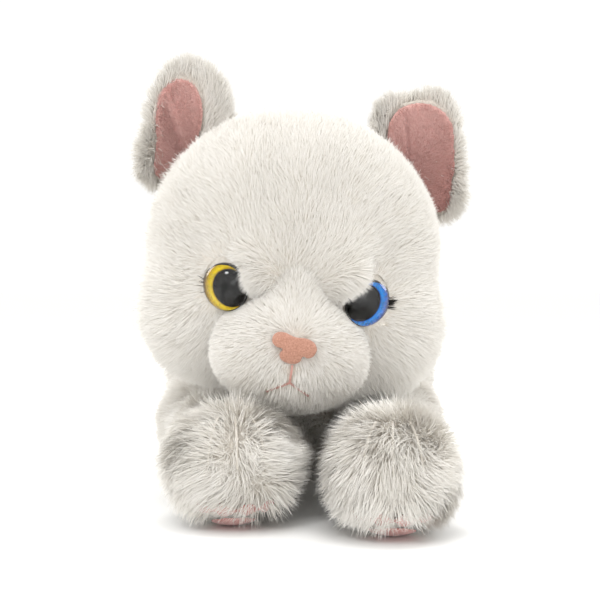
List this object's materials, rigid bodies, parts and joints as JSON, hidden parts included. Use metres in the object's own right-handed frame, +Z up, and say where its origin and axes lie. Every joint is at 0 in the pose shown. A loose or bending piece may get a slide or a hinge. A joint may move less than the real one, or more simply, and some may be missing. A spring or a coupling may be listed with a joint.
{
  "type": "plush cat",
  "caption": "White long-pile plush cat lying prone with its head up, odd-coloured safety eyes, pink ear linings, sewn floppy legs and a curled tail.",
  "frame": {"origin": "middle of the whole cat, on the surface it lies on", "axes": "+Z up; the cat faces -Y, so +Y runs from nose to tail; +X is its left side"},
  "size_m": [0.1322, 0.3196, 0.1654],
  "materials": {
    "pile_fabric": "matte",
    "short_fabric": "matte",
    "ear_lining": "matte",
    "paw_pad": "matte",
    "nose_thread": "matte",
    "mouth_thread": "matte",
    "white_thread": "matte",
    "black_thread": "matte",
    "stuffing": "matte",
    "bag_fabric": "matte",
    "pellets": "matte",
    "eye_black": "gloss",
    "iris_yellow": "gloss",
    "iris_blue": "gloss",
    "clear_lens": "gloss",
    "washer_plastic": "matte"
  },
  "bodies": {
    "body": {"back_cover": "pile_fabric", "tummy_panel": "short_fabric", "closing_stitches": "white_thread", "body_stuffing": "stuffing", "pellet_bag": "bag_fabric", "pellet_fill": "pellets"},
    "neck": {"neck_gusset": "pile_fabric", "neck_stuffing": "stuffing"},
    "head": {"head_face_cover": "pile_fabric", "head_back_cover": "pile_fabric", "muzzle_panel": "short_fabric", "head_stuffing": "stuffing", "nose_patch": "nose_thread", "mouth_stitches": "mouth_thread", "left_eye_stem": "eye_black", "left_eye_iris": "iris_blue", "left_eye_pupil": "eye_black", "left_eye_lens": "clear_lens", "left_eye_washer": "washer_plastic", "left_eye_lash": "black_thread", "right_eye_stem": "eye_black", "right_eye_iris": "iris_yellow", "right_eye_pupil": "eye_black", "right_eye_lens": "clear_lens", "right_eye_washer": "washer_plastic", "right_eye_lash": "black_thread"},
    "left_ear": {"left_ear_back": "pile_fabric", "left_ear_lining": "ear_lining"},
    "left_foreleg": {"left_foreleg_cover": "pile_fabric", "left_foreleg_stuffing": "stuffing", "left_forepaw_palm_pad": "paw_pad", "left_forepaw_toe_pads": "paw_pad", "left_forepaw_toe_stitches": "mouth_thread"},
    "left_hindleg": {"left_hindleg_cover": "pile_fabric", "left_hindleg_stuffing": "stuffing", "left_hindpaw_palm_pad": "paw_pad", "left_hindpaw_toe_pads": "paw_pad", "left_hindpaw_toe_stitches": "mouth_thread"},
    "right_ear": {"right_ear_back": "pile_fabric", "right_ear_lining": "ear_lining"},
    "right_foreleg": {"right_foreleg_cover": "pile_fabric", "right_foreleg_stuffing": "stuffing", "right_forepaw_palm_pad": "paw_pad", "right_forepaw_toe_pads": "paw_pad", "right_forepaw_toe_stitches": "mouth_thread"},
    "right_hindleg": {"right_hindleg_cover": "pile_fabric", "right_hindleg_stuffing": "stuffing", "right_hindpaw_palm_pad": "paw_pad", "right_hindpaw_toe_pads": "paw_pad", "right_hindpaw_toe_stitches": "mouth_thread"},
    "tail": {"tail_cover": "pile_fabric", "tail_stuffing": "stuffing"}
  },
  "joints": [
    {"name": "head_turn", "type": "hinge", "parent": "body", "child": "neck", "pos_m": [0, 0.0015, 0.0565], "axis": [0, 0, 1], "range_deg": [-25, 25], "stiffness_Nm_per_rad": 0.05},
    {"name": "head_lift", "type": "hinge", "parent": "neck", "child": "head", "pos_m": [0, 0.0015, 0.0565], "axis": [-1, 0, 0], "range_deg": [0, 20]},
    {"name": "left_ear_fold", "type": "hinge", "parent": "head", "child": "left_ear", "pos_m": [0.0422, -0.04866, 0.1219], "axis": [-0.5748, -0.0464, 0.817], "range_deg": [-15, 15], "stiffness_Nm_per_rad": 0.01},
    {"name": "right_ear_fold", "type": "hinge", "parent": "head", "child": "right_ear", "pos_m": [-0.03957, -0.05441, 0.13121], "axis": [-0.7438, -0.0464, -0.6667], "range_deg": [-15, 15], "stiffness_Nm_per_rad": 0.01},
    {"name": "left_foreleg_drop", "type": "hinge", "parent": "body", "child": "left_foreleg", "pos_m": [0.0355, -0.0105, 0.0215], "axis": [0.9985, -0.0556, 0], "range_deg": [0, 45], "stiffness_Nm_per_rad": 0.04},
    {"name": "right_foreleg_drop", "type": "hinge", "parent": "body", "child": "right_foreleg", "pos_m": [-0.0355, -0.0105, 0.0215], "axis": [0.9923, 0.1239, 0], "range_deg": [0, 45], "stiffness_Nm_per_rad": 0.04},
    {"name": "left_hindleg_drop", "type": "hinge", "parent": "body", "child": "left_hindleg", "pos_m": [0.033, 0.0725, 0.023], "axis": [-0.9554, 0.2955, 0], "range_deg": [-20, 45], "stiffness_Nm_per_rad": 0.04},
    {"name": "right_hindleg_drop", "type": "hinge", "parent": "body", "child": "right_hindleg", "pos_m": [-0.033, 0.0725, 0.023], "axis": [-0.9554, -0.2955, 0], "range_deg": [-20, 45], "stiffness_Nm_per_rad": 0.04},
    {"name": "tail_lift", "type": "hinge", "parent": "body", "child": "tail", "pos_m": [0, 0.0895, 0.014], "axis": [1, 0, 0], "range_deg": [0, 60], "stiffness_Nm_per_rad": 0.01}
  ]
}
